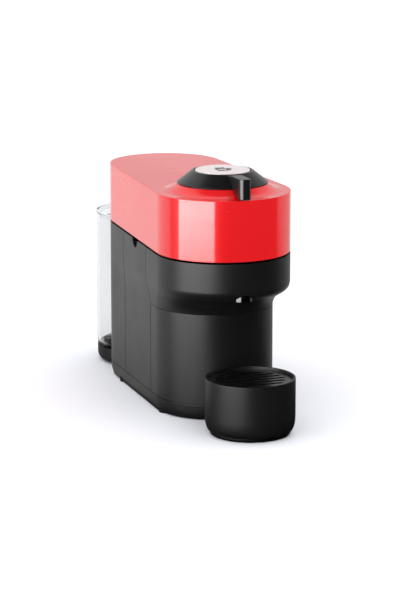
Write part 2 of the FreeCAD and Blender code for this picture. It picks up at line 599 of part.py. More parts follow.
# ---------------------------------------------------------------- container
CT = 108.1
front = common(low_plan(0, trim_z + 0.2, CT), box(-BIG, BIG, -200, seam_front - seam_gap, 0, 200))
bin_out = box(-49, 49, -60, 13.5, trim_z + 0.2, 98)
cav_front = common(low_plan(wall, trim_z + 2.6, 150), box(-BIG, BIG, -200, -44.2, 0, 200))
cav_bin = box(-46.6, 46.6, -62, 11.2, trim_z + 2.6, 150)
container = cut(fuse(front, bin_out), cav_front, cav_bin)
node("capsule_container", container)

# ---------------------------------------------------------------- drip tray
tr = tray_r
tray_pts = [(0.0, 3.6), (tr - 4.4, 3.6), (tr - 3.0, 4.4), (tr - 2.1, 5.8), (tr - 1.3, 7.8), (tr - 0.7, 10.2), (tr - 0.3, 12.8), (tr - 0.1, 15.4), (tr, 18.0), (tr, tray_z1 - 0.6),
            (tr - 0.6, tray_z1), (tr - 2.4, tray_z1), (tr - 2.8, tray_z1 - 0.6), (tr - 2.8, 22), (tr - 4.6, 13), (tr - 9.0, 7.8), (0.0, 6.6)]
bowl = turned(tray_pts, 0, tray_y)
ledge = ring(0, tray_y, 45.7, tr - 2.7, tr - 5.0, 3.2)
tongue = box(-13, 13, -128, -119.75, 22, 28)
node("drip_tray", fuse(bowl, ledge, cut(tongue, cyl(0, tray_y, 0, tr - 0.5, 60))))
node("tray_foot", turned([(0.0, 0.0), (38.8, 0.0), (39.4, 0.5), (40.0, 2.6), (39.8, 3.5), (0.0, 3.5)], 0, tray_y))

grid = cyl(0, tray_y, 49.0, tr - 3.3, 4.6)
grid = cut(grid, cyl(0, tray_y, 45.2, tr - 5.4, 5.6))
slots = []
for yy in (-33.6, -24.2, -14.8, -5.4, 4.0, 13.4, 22.8):
    half = math.sqrt((num(tr) - 9.0) ** 2 - max(abs(yy), abs(yy + 4.2)) ** 2)
    slots.append(box(-half, half, tray_y + yy, tray_y + yy + 4.2, 40, 60))
notch = fuse(box(-8.6, 8.6, tray_y + 37.5, tray_y + 60, 40, 60), cyl(0, tray_y + 37.5, 40, 8.6, 20))
node("drip_grid", cut(grid, *slots, notch))

# ---------------------------------------------------------------- tank
def crescent(inset, z0, z1, more=0.0):
    return cut(cyl(0, tank_y, z0, tank_r - inset, z1 - z0), cyl(0, back_y, z0 - 1, back_r + tank_gap + inset + more, z1 - z0 + 2))


tank_o = crescent(0, tank_z0, tank_z1)
tank_o = round_edges(tank_o, lambda e: flat_at(num(tank_z0))(e) and e.BoundBox.YMax > 205, 5)
tank = cut(tank_o, crescent(tank_wall, tank_z0 + 2.4, tank_z1 + 5))
valve_seat = ring(valve_x, valve_y, tank_z0 + 2.3, 9.0, 6.6, 1.6)
tank = cut(fuse(tank, valve_seat), cyl(valve_x, valve_y, 10, 6.6, 14))
node("water_tank", tank)
node("tank_valve", cut(fuse(cyl(valve_x, valve_y, 18.6, 6.55, 4.0), cyl(valve_x, valve_y, 22.3, 8.4, 4.7)), cyl(valve_x, valve_y, 15, 4.0, 10.2), cyl(valve_x, valve_y, 15, 2.2, 20)))
node("valve_poppet", fuse(cyl(valve_x, valve_y, 20.5, 1.9, 6.3), cyl(valve_x, valve_y, 19.2, 3.6, 1.4)))
node("valve_spring", ring(valve_x, valve_y, 20.7, 3.5, 2.3, 4.4))
lid = fuse(crescent(0, tank_z1 + 0.2, tank_z1 + 3.2, 0.8), crescent(tank_wall + 0.5, tank_z1 - 4.0, tank_z1 + 0.3))
lid = cut(lid, crescent(tank_wall + 2.3, tank_z1 - 5, tank_z1 + 0.6))
node("tank_lid", lid)

# ---------------------------------------------------------------- check and export
doc.recompute()
bad = [o.Name for o in doc.Objects if any(s in ("Invalid", "Error") for s in o.State)]
if bad:
    raise RuntimeError("features failed: " + ", ".join(bad))
labels = [n.Label for n in nodes]
if len(set(labels)) != len(labels) or len(labels) > 60:
    raise RuntimeError("node names repeat or are too many: %d" % len(labels))
os.makedirs("parts", exist_ok=True)
for n in nodes:
    shape = n.Shape
    if shape.isNull() or not shape.isValid() or shape.Volume <= 0:
        raise RuntimeError("bad shape: " + n.Label)
    if not shape.Solids:
        raise RuntimeError("no solid: " + n.Label)
for n in nodes:
    n.Shape.exportStep(os.path.join("parts", n.Label + ".step"))
    b = n.Shape.BoundBox
    print("%-18s solids %d vol %9.0f  x %7.1f %7.1f y %7.1f %7.1f z %7.1f %7.1f" % (n.Label, len(n.Shape.Solids), n.Shape.Volume, b.XMin, b.XMax, b.YMin, b.YMax, b.ZMin, b.ZMax))
print(len(nodes), "nodes")
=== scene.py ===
import json
import math
import bmesh
import bpy
from mathutils import Matrix, Vector


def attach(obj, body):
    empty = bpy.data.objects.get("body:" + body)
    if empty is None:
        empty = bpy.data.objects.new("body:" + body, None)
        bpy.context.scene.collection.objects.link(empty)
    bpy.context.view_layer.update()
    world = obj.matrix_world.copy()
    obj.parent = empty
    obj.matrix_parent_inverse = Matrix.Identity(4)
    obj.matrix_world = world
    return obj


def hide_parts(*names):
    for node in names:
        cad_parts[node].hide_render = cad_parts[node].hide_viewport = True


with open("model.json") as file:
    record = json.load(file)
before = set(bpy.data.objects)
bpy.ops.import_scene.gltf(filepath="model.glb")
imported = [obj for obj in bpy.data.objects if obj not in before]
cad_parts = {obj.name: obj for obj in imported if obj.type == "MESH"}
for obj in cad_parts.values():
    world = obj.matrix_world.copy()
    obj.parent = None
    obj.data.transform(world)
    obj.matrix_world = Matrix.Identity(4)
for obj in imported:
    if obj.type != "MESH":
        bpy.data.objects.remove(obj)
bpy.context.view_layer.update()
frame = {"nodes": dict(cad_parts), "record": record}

MM = 0.001
scene = bpy.context.scene
scene.view_settings.view_transform = "Standard"
scene.view_settings.look = "None"

# ------------------------------------------------------------------ camera
AZ, EL, DIST = math.radians(-19.402), math.radians(12.528), 2.67296
TARGET = Vector((-0.0020975, -0.0273, 0.1035471))
BACK = Vector((math.sin(AZ) * math.cos(EL), -math.cos(AZ) * math.cos(EL), math.sin(EL)))
cam_data = bpy.data.cameras.new("camera")
cam = bpy.data.objects.new("camera", cam_data)
scene.collection.objects.link(cam)
cam.rotation_mode = "QUATERNION"
cam.location = TARGET + BACK * DIST
cam.rotation_quaternion = (-BACK).to_track_quat("-Z", "Y")
cam_data.sensor_width = 36.0
cam_data.lens = 156.07
cam_data.clip_start, cam_data.clip_end = 0.1, 50.0
scene.camera = cam

# ------------------------------------------------------------------ materials


class Mat:
    """Small helper that builds a node material round one Principled shader."""

    def __init__(self, name, color=None, rough=None, metallic=None, ior=None, spec=None, coat=None, coat_rough=None):
        self.mat = bpy.data.materials.new(name)
        self.mat.use_nodes = True
        self.nt = self.mat.node_tree
        self.p = self.nt.nodes["Principled BSDF"]
        if color:
            self.p.inputs["Base Color"].default_value = (*color, 1)
            self.mat.diffuse_color = (*color, 1)
        for key, v in (("Roughness", rough), ("Metallic", metallic), ("IOR", ior), ("Specular IOR Level", spec), ("Coat Weight", coat), ("Coat Roughness", coat_rough)):
            if v is not None:
                self.p.inputs[key].default_value = v

    def add(self, kind, **inputs):
        n = self.nt.nodes.new(kind)
        for k, v in inputs.items():
            n.inputs[k.replace("_", " ")].default_value = v
        return n

    def link(self, a, b):
        self.nt.links.new(a, b)

    def coords(self, scale=(1, 1, 1)):
        tc = self.add("ShaderNodeTexCoord")
        mp = self.add("ShaderNodeMapping")
        mp.inputs["Scale"].default_value = scale
        self.link(tc.outputs["Object"], mp.inputs["Vector"])
        return mp.outputs["Vector"]

    def noise(self, vec, scale, detail=3.0, rough=0.55):
        n = self.add("ShaderNodeTexNoise")
        n.inputs["Scale"].default_value = scale
        n.inputs["Detail"].default_value = detail
        n.inputs["Roughness"].default_value = rough
        self.link(vec, n.inputs["Vector"])
        return n.outputs["Fac"]

    def ramp(self, fac, stops):
        r = self.add("ShaderNodeValToRGB")
        el = r.color_ramp.elements
        while len(el) < len(stops):
            el.new(0.5)
        for e, (pos, col) in zip(el, stops):
            e.position = pos
            e.color = (*col, 1) if len(col) == 3 else col
        self.link(fac, r.inputs["Fac"])
        return r.outputs["Color"]

    def span(self, fac, lo, hi, lo_in=0.3, hi_in=0.7):
        m = self.add("ShaderNodeMapRange")
        m.inputs["From Min"].default_value = lo_in
        m.inputs["From Max"].default_value = hi_in
        m.inputs["To Min"].default_value = lo
        m.inputs["To Max"].default_value = hi
        self.link(fac, m.inputs["Value"])
        return m.outputs["Result"]

    def bump(self, height, strength=0.1, distance=0.0002, chain=None):
        b = self.add("ShaderNodeBump")
        b.inputs["Strength"].default_value = strength
        b.inputs["Distance"].default_value = distance
        self.link(height, b.inputs["Height"])
        if chain:
            self.link(chain, b.inputs["Normal"])
        return b.outputs["Normal"]


def grained(name, color, rough, grain=2600.0, depth=0.00004, vary=0.12, spec=0.5, wear=None, coat=None, coat_rough=None, metallic=None):
    """Moulded plastic: fine spark-eroded grain, faint flow mottling, slight sheen change."""
    m = Mat(name, color, rough, spec=spec, coat=coat, coat_rough=coat_rough, metallic=metallic)
    v = m.coords()
    fine = m.noise(v, grain, 2.0)
    broad = m.noise(v, 22.0, 4.0)
    lo = tuple(c * (1 - vary) for c in color)
    hi = tuple(min(1, c * (1 + vary)) for c in color)
    m.link(m.ramp(broad, [(0.3, lo), (0.7, hi)]), m.p.inputs["Base Color"])
    m.link(m.span(broad, rough * 0.93, rough * 1.08), m.p.inputs["Roughness"])
    m.link(m.bump(fine, 0.35, depth), m.p.inputs["Normal"])
    return m.mat


RIB_TOP = 0.2285


def red_paint():
    """Lacquer over a finely ribbed surface: level ribs about two millimetres apart, never quite even."""
    m = Mat("red_metallic", (0.84, 0.005, 0.009), 0.26, metallic=0.10, spec=0.3, coat=1.0, coat_rough=0.03)
    tc = m.add("ShaderNodeTexCoord")
    sx = m.add("ShaderNodeSeparateXYZ")
    m.link(tc.outputs["Object"], sx.inputs[0])

    def calc(op, a, b):
        n = m.add("ShaderNodeMath")
        n.operation = op
        for i, v in enumerate((a, b)):
            if isinstance(v, (int, float)):
                n.inputs[i].default_value = v
            elif v is not None:
                m.link(v, n.inputs[i])
        return n.outputs[0]

    ribs = calc("SINE", calc("MULTIPLY", sx.outputs["Z"], 2 * math.pi / 0.0026), None)
    ribs = calc("ADD", calc("MULTIPLY", ribs, 0.5), 0.5)
    drift = m.noise(m.coords((7.0, 7.0, 210.0)), 1.0, 2.0, 0.5)
    fine = m.noise(m.coords((30.0, 30.0, 900.0)), 1.0, 2.0, 0.6)
    lines = calc("MULTIPLY", ribs, m.span(drift, 0.75, 1.0, 0.35, 0.65))
    lines = calc("ADD", calc("MULTIPLY", lines, 0.8), calc("MULTIPLY", fine, 0.2))
    # only the upright wall is ribbed: the top and the mound are plain
    wall = calc("MINIMUM", calc("MAXIMUM", calc("MULTIPLY", calc("SUBTRACT", RIB_TOP, sx.outputs["Z"]), 1000.0), 0.0), 1.0)
    lines = calc("ADD", calc("MULTIPLY", calc("SUBTRACT", lines, 0.5), wall), 0.5)
    broad = m.noise(m.coords((6, 6, 14)), 1.0, 2.0)
    m.link(m.ramp(lines, [(0.10, (0.86, 0.0060, 0.0100)), (0.85, (0.78, 0.0040, 0.0070))]), m.p.inputs["Base Color"])
    m.link(m.span(broad, 0.24, 0.29), m.p.inputs["Roughness"])
    m.link(m.span(lines, 1.0, 0.50, 0.15, 0.85), m.p.inputs["Coat Weight"])
    m.p.inputs["Coat IOR"].default_value = 1.62
    m.link(m.span(lines, 0.025, 0.060, 0.1, 0.9), m.p.inputs["Coat Roughness"])
    n = m.bump(lines, 0.12, 0.00004)
    m.link(n, m.p.inputs["Normal"])
    m.link(n, m.p.inputs["Coat Normal"])
    m.p.inputs["Anisotropic"].default_value = 0.4
    return m.mat


def metal(name, color, rough, lines=(2, 2, 400)):
    m = Mat(name, color, rough, metallic=1.0)
    n = m.noise(m.coords(lines), 1.0, 3.0)
    m.link(m.span(n, rough * 0.8, rough * 1.25), m.p.inputs["Roughness"])
    m.link(m.bump(n, 0.12, 0.00002), m.p.inputs["Normal"])
    m.link(m.ramp(n, [(0.25, tuple(c * 0.92 for c in color)), (0.75, color)]), m.p.inputs["Base Color"])
    return m.mat


def clear(name, tint, rough=0.02, ior=1.22):
    m = Mat(name, tint, rough, ior=ior)
    m.p.inputs["Transmission Weight"].default_value = 1.0
    n = m.noise(m.coords((9, 9, 5)), 1.0, 2.0)
    m.link(m.span(n, rough * 0.6, rough * 1.6), m.p.inputs["Roughness"])
    m.link(m.ramp(n, [(0.2, tuple(c * 0.985 for c in tint)), (0.8, tint)]), m.p.inputs["Base Color"])
    return m.mat


def board():
    m = Mat("board_green", (0.02, 0.16, 0.07), 0.35)
    tracks = m.noise(m.coords((260, 260, 260)), 1.0, 1.0)
    m.link(m.ramp(tracks, [(0.47, (0.015, 0.12, 0.05)), (0.50, (0.05, 0.28, 0.12)), (0.54, (0.015, 0.12, 0.05))]), m.p.inputs["Base Color"])
    return m.mat


MATS = {
    "red_metallic": red_paint(),
    "dark_casing": grained("dark_casing", (0.0056, 0.0056, 0.0058), 0.40, spec=0.325),
    "dark_grid": grained("dark_grid", (0.0034, 0.0034, 0.0038), 0.30, spec=0.5),
    "black_matte": grained("black_matte", (0.0026, 0.0026, 0.0029), 0.50, spec=0.12),
    "gloss_black": grained("gloss_black", (0.0058, 0.0062, 0.0062), 0.30, grain=900, depth=0.00001, vary=0.2, spec=0.5, coat=0.15, coat_rough=0.12),
    "button_white": grained("button_white", (0.82, 0.70, 0.71), 0.22, grain=1400, depth=0.00001, vary=0.02, coat=0.7, coat_rough=0.04),
    "icon_grey": grained("icon_grey", (0.016, 0.015, 0.016), 0.4),
    "chrome_trim": metal("chrome_trim", (0.16, 0.16, 0.165), 0.14),
    "rubber_black": grained("rubber_black", (0.0030, 0.0030, 0.0032), 0.75, grain=1500, depth=0.0001, spec=0.12),
    "clear_plastic": clear("clear_plastic", (0.822, 0.823, 0.814)),
    "lid_plastic": clear("lid_plastic", (0.91, 0.912, 0.914), 0.06, 1.03),
    "steel": metal("steel", (0.55, 0.55, 0.56), 0.28),
    "motor_iron": metal("motor_iron", (0.20, 0.20, 0.21), 0.45, (2, 2, 1300)),
    "pump_metal": metal("pump_metal", (0.40, 0.40, 0.42), 0.40),
    "heater_alu": metal("heater_alu", (0.52, 0.52, 0.54), 0.50, (120, 120, 120)),
    "inner_plastic": grained("inner_plastic", (0.030, 0.030, 0.032), 0.42),
    "board_green": board(),
    "silicone": grained("silicone", (0.62, 0.61, 0.57), 0.45, grain=800, vary=0.05),
}

# every CAD node that stays takes its slot's material
SLOT_OF = {s["node"]: s["material_slot"] for s in frame["record"]["subparts"]}
for node_name, obj in frame["nodes"].items():
    mat = MATS[SLOT_OF[node_name]]
    if not obj.material_slots:
        obj.data.materials.append(mat)
    for ms in obj.material_slots:
        ms.material = mat

# ------------------------------------------------------------------ mesh tools
YK = -0.0873                       # knob and drum axis
HEAD = ((-0.0873, 0.068), (0.0896, 0.0587))
TRAY_Y, TRAY_R = -0.1683, 0.0447
TANK_Y, TANK_R = 0.1602, 0.0528
BACK_Y, BACK_R, TANK_GAP = 0.0896, 0.0587, 0.0024


def finish_mesh(name, bm, body, slot, nodes, sharp=38.0, merge=2e-6):
    """Turns a bmesh into a piece: clean, smooth with sharp creases, painted, riding on its body."""
    bmesh.ops.remove_doubles(bm, verts=bm.verts, dist=merge)
    bmesh.ops.recalc_face_normals(bm, faces=bm.faces)
    limit = math.radians(sharp)
    for f in bm.faces:
        f.smooth = True
    for e in bm.edges:
        e.smooth = not (len(e.link_faces) == 2 and e.calc_face_angle(0.0) > limit)
    me = bpy.data.meshes.new(name)
    bm.to_mesh(me)
    bm.free()
    me.materials.append(MATS[slot])
    o = bpy.data.objects.new(name, me)
    scene.collection.objects.link(o)
    wn = o.modifiers.new("normals", "WEIGHTED_NORMAL")
    wn.keep_sharp, wn.weight, wn.mode = True, 50, "FACE_AREA"
    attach(o, body)
    if nodes:
        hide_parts(*nodes)
    return o


def loop_rings(bm, rings, close_first=False, close_last=False, around=True):
    """Skins a list of vertex rings (each a list of points of equal count)."""
    rows = [[bm.verts.new(p) for p in r] for r in rings]
    n = len(rows[0])
    for a, b in zip(rows, rows[1:]):
        for i in range(n):
            j = (i + 1) % n
            bm.faces.new((a[i], a[j], b[j], b[i]))
    if around:
        a, b = rows[-1], rows[0]
        for i in range(n):
            j = (i + 1) % n
            bm.faces.new((a[i], a[j], b[j], b[i]))
    if close_first:
        bm.faces.new(rows[0])
    if close_last:
        bm.faces.new(rows[-1])
    return rows


def rounded(pts, radii, steps=4, closed=True):
    """Polyline with its corners replaced by arcs; radii is one number or one per point."""
    n = len(pts)
    if isinstance(radii, (int, float)):
        radii = [radii] * n
    out = []
    for i in range(n):
        p = Vector(pts[i])
        if not closed and i in (0, n - 1) or radii[i] <= 0:
            out.append(tuple(p))
            continue
        a, b = Vector(pts[i - 1]) - p, Vector(pts[(i + 1) % n]) - p
        la, lb = a.length, b.length
        a.normalize()
        b.normalize()
        ang = a.angle(b)
        if ang > math.radians(178):
            out.append(tuple(p))
            continue
        r = radii[i]
        t = min(r / math.tan(ang / 2), la * 0.49, lb * 0.49)
        r = t * math.tan(ang / 2)
        mid = (a + b).normalized()
        c = p + mid * (r / math.sin(ang / 2))
        s, e = p + a * t - c, p + b * t - c
        for k in range(steps + 1):
            w = k / steps
            v = s.normalized().slerp(e.normalized(), w) * r
            out.append(tuple(c + v))
    return out


def lathe(bm, pts, x, y, seg=144):
    """Revolution of a closed (radius, height) outline; points on the axis become poles."""
    n = len(pts)
    cols = []
    for k in range(seg):
        a = 2 * math.pi * k / seg
        ca, sa = math.cos(a), math.sin(a)
        cols.append([(x + r * sa, y + r * ca, z) for r, z in pts])
    poles = {}
    grid = []
    for k in range(seg):
        row = []
        for i, (r, z) in enumerate(pts):
            if r < 1e-7:
                if i not in poles:
                    poles[i] = bm.verts.new((x, y, z))
                row.append(poles[i])
            else:
                row.append(bm.verts.new(cols[k][i]))
        grid.append(row)
    for k in range(seg):
        a, b = grid[k], grid[(k + 1) % seg]
        for i in range(n):
            j = (i + 1) % n
            quad = []
            for v in (a[i], a[j], b[j], b[i]):
                if v not in quad:
                    quad.append(v)
            if len(quad) >= 3:
                bm.faces.new(quad)


def mm(pts):
    return [tuple(c * MM for c in p) for p in pts]


def applied(o):
    """The object's mesh with its modifiers applied, as a new bmesh."""
    bpy.context.view_layer.update()
    deps = bpy.context.evaluated_depsgraph_get()
    me = bpy.data.meshes.new_from_object(o.evaluated_get(deps), depsgraph=deps)
    out = bmesh.new()
    out.from_mesh(me)
    bpy.data.meshes.remove(me)
    return out


def temp_object(bm):
    me = bpy.data.meshes.new("temp")
    bm.to_mesh(me)
    bm.free()
    o = bpy.data.objects.new("temp", me)
    scene.collection.objects.link(o)
    return o


def subtract(bm, *cutters):
    """bm minus each cutter bmesh."""
    for c in cutters:
        for b in (bm, c):
            bmesh.ops.remove_doubles(b, verts=b.verts, dist=2e-6)
            bmesh.ops.recalc_face_normals(b, faces=b.faces)
        o, t = temp_object(bm), temp_object(c)
        m = o.modifiers.new("cut", "BOOLEAN")
        m.operation, m.solver, m.object = "DIFFERENCE", "EXACT", t
        bm = applied(o)
        for x in (o, t):
            me = x.data
            bpy.data.objects.remove(x)
            bpy.data.meshes.remove(me)
    return bm


def block_bm(x0, x1, y0, y1, z0, z1, edge=0.0, segs=2):
    b = bmesh.new()
    bmesh.ops.create_cube(b, size=1.0)
    for v in b.verts:
        v.co = Vector(((x0 + x1) / 2 + v.co.x * (x1 - x0), (y0 + y1) / 2 + v.co.y * (y1 - y0), (z0 + z1) / 2 + v.co.z * (z1 - z0)))
    if edge:
        bmesh.ops.bevel(b, geom=b.edges[:], offset=edge, segments=segs, profile=0.5, affect="EDGES", clamp_overlap=True)
    return b


def rod_bm(x, y, z0, z1, r, seg=64):
    b = bmesh.new()
    lathe(b, [(0, z0), (r, z0), (r, z1), (0, z1)], x, y, seg)
    return b


def joined(bm, other):
    """Adds the faces of other to bm."""
    me = bpy.data.meshes.new("part")
    other.to_mesh(me)
    other.free()
    bm.from_mesh(me)
    bpy.data.meshes.remove(me)
    return bm


BODY_OF = {n: b for b, ns in frame["record"]["behaviour"]["bodies"].items() for n in ns}


def softened(node, width=0.00035, segs=2, sharp=30.0):
    """The CAD solid with every outer edge eased as a moulding's edge is."""
    src = frame["nodes"][node]
    bm = bmesh.new()
    bm.from_mesh(src.data)
    bm.transform(src.matrix_world)
    bmesh.ops.remove_doubles(bm, verts=bm.verts, dist=2e-6)
    bmesh.ops.recalc_face_normals(bm, faces=bm.faces)
    bmesh.ops.dissolve_limit(bm, angle_limit=math.radians(0.06), verts=bm.verts, edges=bm.edges)
    edges = [e for e in bm.edges if len(e.link_faces) == 2 and e.calc_face_angle(0.0) > math.radians(sharp) and e.is_convex]
    if edges and width > 0:
        bmesh.ops.bevel(bm, geom=edges, offset=width, segments=segs, profile=0.5, affect="EDGES", clamp_overlap=False)
    return finish_mesh("visual_" + node, bm, BODY_OF[node], SLOT_OF[node], [node], merge=1e-6)


# ------------------------------------------------------------------ head shell
def plan_outline(inset, ya=HEAD[0][0], ra=HEAD[0][1], yb=HEAD[1][0], rb=HEAD[1][1]):
    """Points round two circles joined by tangents: same count and order for every inset."""
    f = math.asin((ra - rb) / (yb - ya))
    p, q = ra - inset, rb - inset
    pts = []
    n1, n2, n3 = 96, 44, 84
    for k in range(n1):                                # front arc, from the left side round the front to the right
        a = math.pi - f + (math.pi + 2 * f) * k / n1
        pts.append((p * math.cos(a), ya + p * math.sin(a)))
    c, s = math.cos(f), math.sin(f)
    for k in range(n2):
        w = k / n2
        pts.append(((p + (q - p) * w) * c, (ya + p * s) * (1 - w) + (yb + q * s) * w))
    for k in range(n3):
        a = f + (math.pi - 2 * f) * k / n3
        pts.append((q * math.cos(a), yb + q * math.sin(a)))
    for k in range(n2):
        w = k / n2
        pts.append((-(q + (p - q) * w) * c, (yb + q * s) * (1 - w) + (ya + p * s) * w))
    return pts


def head_shell():
    z0, z1, e = 0.1686, 0.2291, 0.0006
    base = plan_outline(0.0)
    dirs = [Vector((x, y - YK)).normalized() for x, y in base]

    def circle(r, z):
        return [(d.x * r, YK + d.y * r, z) for d in dirs]

    def outline(inset, z):
        return [(x, y, z) for x, y in plan_outline(inset)]

    mound = rounded(mm([(33.5, 236.55), (44.9, 236.40), (45.6, 236.1), (48.5, 233.7), (51.8, 231.6), (55.2, 230.1), (58.5, 229.35), (61.5, 229.12), (63.0, 229.1)]),
                    [0, 0.0006, 0, 0.016, 0.016, 0.016, 0.016, 0.010, 0], 4, closed=False)
    rings = [circle(r, z) for r, z in mound]
    rings.append(outline(0.0030, z1))
    for k in range(7):
        a = math.pi / 2 * k / 6
        rings.append(outline(e - e * math.sin(a), z1 - e + e * math.cos(a)))
    for z in (0.2180, 0.2050, 0.1900, 0.1760):
        rings.append(outline(0.0, z))
    for k in range(4):
        a = math.pi / 2 * k / 3
        rings.append(outline(0.0002 - 0.0002 * math.cos(a), z0 + 0.0002 - 0.0002 * math.sin(a)))
    rings.append(outline(0.0023, z0))
    rings.append(outline(0.0025, z0 + 0.0002))
    rings.append(outline(0.0025, 0.2200))
    rings.append(outline(0.0028, 0.2260))
    rings.append(outline(0.0034, 0.2266))
    rings += [circle(0.04125, 0.2266), circle(0.038, 0.2331), circle(0.0335, 0.2331)]
    bm = bmesh.new()
    loop_rings(bm, rings)
    bm = subtract(bm, block_bm(-0.0224, 0.0224, 0.128, 0.160, 0.160, 0.1855))
    return finish_mesh("visual_head_shell", bm, "head", "red_metallic", ["head_shell"], sharp=34)


# ------------------------------------------------------------------ knob, lever, button
def knob():
    pts = rounded(mm([(33.0, 237.1), (45.7, 237.1), (30.6, 249.0), (28.7, 249.0), (28.05, 247.8), (28.05, 241.4), (30.0, 240.4), (30.0, 214.0), (33.0, 214.0)]),
                  mm([(0, 0.15, 0.9, 0.5, 0.6, 0, 0, 0.3, 0.3)])[0], 4)
    bm = bmesh.new()
    lathe(bm, pts, 0, YK, 160)
    return finish_mesh("visual_knob_cone", bm, "lever", "gloss_black", ["knob_cone"], sharp=40)


def lever():
    half0, tip, turn = 0.0060, 0.068, 0.0048
    under = mm([(31.0, 246.9), (44.0, 237.4), (46.2, 236.9), (50.0, 234.4), (56.0, 232.0), (61.0, 230.6), (64.4, 229.8), (67.4, 229.7), (68.0, 229.9)])
    over = mm([(31.0, 248.2), (33.0, 248.6), (41.5, 250.0), (68.0, 250.0)])

    def level(table, d):
        for (a, za), (b, zb) in zip(table, table[1:]):
            if d <= b:
                return za + (zb - za) * max(d - a, 0.0) / (b - a)
        return table[-1][1]

    stations = [(d * MM, half0) for d in (31.6, 33.0, 35.0, 37.0, 39.0, 40.3, 41.5, 42.7, 44.0, 45.0, 46.2, 47.5, 49.0, 50.5, 52.0, 54.0, 56.0, 58.5, 61.0, 62.5, 63.2)]
    for k in range(13):
        a = math.pi / 2 * k / 12
        stations.append((tip - turn + turn * math.sin(a), half0 - turn + turn * math.cos(a)))
    rings = []
    for d, half in stations:
        lo, hi = level(under, d), level(over, d)
        left = tip - d
        if left < 0.0009:
            drop = 0.0009 - math.sqrt(max(0.0009 ** 2 - (0.0009 - left) ** 2, 0.0))
            hi -= drop
            lo += drop * 0.6
        top, low = min(0.0009, half * 0.7), min(0.0007, half * 0.6)
        ring = []
        for cx, cz, r, a0 in ((half - top, hi - top, top, 0.0), (-half + top, hi - top, top, 90.0), (-half + low, lo + low, low, 180.0), (half - low, lo + low, low, 270.0)):
            for k in range(6):
                a = math.radians(a0 + 90.0 * k / 5)
                ring.append((cx + r * math.cos(a), YK - d, cz + r * math.sin(a)))
        rings.append(ring)
    bm = bmesh.new()
    loop_rings(bm, rings, close_first=True, close_last=True, around=False)
    return finish_mesh("visual_lever", bm, "lever", "gloss_black", ["lever_handle"], sharp=40)


def button():
    pts = rounded(mm([(0, 245.6), (24.5, 245.6), (24.5, 243.4), (27.4, 243.4), (27.4, 249.85), (24.0, 249.82), (12.0, 249.74), (0, 249.70)]),
                  mm([(0, 0.2, 0.2, 0.4, 1.3, 3, 5, 0)])[0], 5, closed=True)
    bm = bmesh.new()
    lathe(bm, pts, 0, YK, 144)
    finish_mesh("visual_button_cap", bm, "button", "button_white", ["button_cap"], sharp=40)

    # generic cup with a handle and three curls of steam, as thin raised strokes
    bm = bmesh.new()
    z0, z1 = 0.2496, 0.2500

    def stroke(points, w, closed=False):
        n = len(points)
        left, right = [], []
        for i, p in enumerate(points):
            p = Vector(p)
            a = Vector(points[(i - 1) % n]) if closed or i else p
            b = Vector(points[(i + 1) % n]) if closed or i < n - 1 else p
            t = (b - a).normalized()
            nrm = Vector((-t.y, t.x)) * w / 2
            left.append(p + nrm)
            right.append(p - nrm)
        rows = []
        for l, r in zip(left, right):
            m = w * 0.18
            d = (l - r).normalized() * m
            rows.append([bm.verts.new((r.x, YK + r.y, z0)), bm.verts.new((r.x, YK + r.y, z1 - m)), bm.verts.new((r.x + d.x, YK + r.y + d.y, z1)),
                         bm.verts.new((l.x - d.x, YK + l.y - d.y, z1)), bm.verts.new((l.x, YK + l.y, z1 - m)), bm.verts.new((l.x, YK + l.y, z0))])
        pairs = list(zip(rows, rows[1:])) + ([(rows[-1], rows[0])] if closed else [])
        for a, b in pairs:
            for i in range(6):
                j = (i + 1) % 6
                bm.faces.new((a[i], a[j], b[j], b[i]))
        if not closed:
            bm.faces.new(rows[0])
            bm.faces.new(rows[-1])

    cup = rounded(mm([(-7.0, 2.2), (5.0, 2.2), (4.2, -5.2), (2.6, -6.4), (-4.6, -6.4), (-6.2, -5.2)]), 0.0011, 4)
    stroke([Vector(p) for p in cup], 0.0016, closed=True)
    stroke([Vector((0.0047 + 0.0036 * math.sin(a), -0.0014 + 0.0026 * math.cos(a))) for a in [math.pi * k / 12 for k in range(13)]], 0.0014)
    for x in (-0.0044, -0.0010, 0.0024):
        stroke([Vector((x + 0.0008 * math.sin(2 * math.pi * k / 12), 0.0040 + 0.0048 * k / 12)) for k in range(13)], 0.0014)
    stroke([Vector((-0.0078 + 0.0136 * k / 4, -0.0084)) for k in range(5)], 0.0014)
    finish_mesh("visual_button_icon", bm, "button", "icon_grey", ["button_icon"], sharp=30)


# ------------------------------------------------------------------ tray, foot, grid
def tray():
    r = TRAY_R * 1000
    pts = rounded(mm([(0, 3.6), (r - 4.4, 3.6), (r - 3.0, 4.4), (r - 2.1, 5.8), (r - 1.3, 7.8), (r - 0.7, 10.2), (r - 0.3, 12.8), (r - 0.1, 15.4), (r, 18.0), (r, 56.5), (r - 2.6, 56.5),
                      (r - 2.8, 48.9), (r - 5.0, 48.9), (r - 5.0, 45.7), (r - 2.8, 45.7), (r - 2.8, 22), (r - 4.6, 13), (r - 9.0, 7.8), (0, 6.6)]),
                  mm([(0, 1.2, 3, 4, 5, 6, 6, 6, 10, 0.7, 0.7, 0.3, 0.4, 0.4, 0.3, 8, 5, 5, 0)])[0], 3)
    bm = bmesh.new()
    lathe(bm, pts, 0, TRAY_Y, 176)
    joined(bm, block_bm(-0.013, 0.013, -0.1272, -0.11975, 0.022, 0.028, 0.0006))
    finish_mesh("visual_drip_tray", bm, "tray", SLOT_OF["drip_tray"], ["drip_tray"], sharp=40)
    pts = rounded(mm([(0, 0), (39.1, 0), (40.0, 2.6), (39.8, 3.5), (0, 3.5)]), mm([(0, 0.8, 0.8, 0.3, 0)])[0], 3)
    bm = bmesh.new()
    lathe(bm, pts, 0, TRAY_Y, 144)
    finish_mesh("visual_tray_foot", bm, "tray", SLOT_OF["tray_foot"], ["tray_foot"], sharp=40)


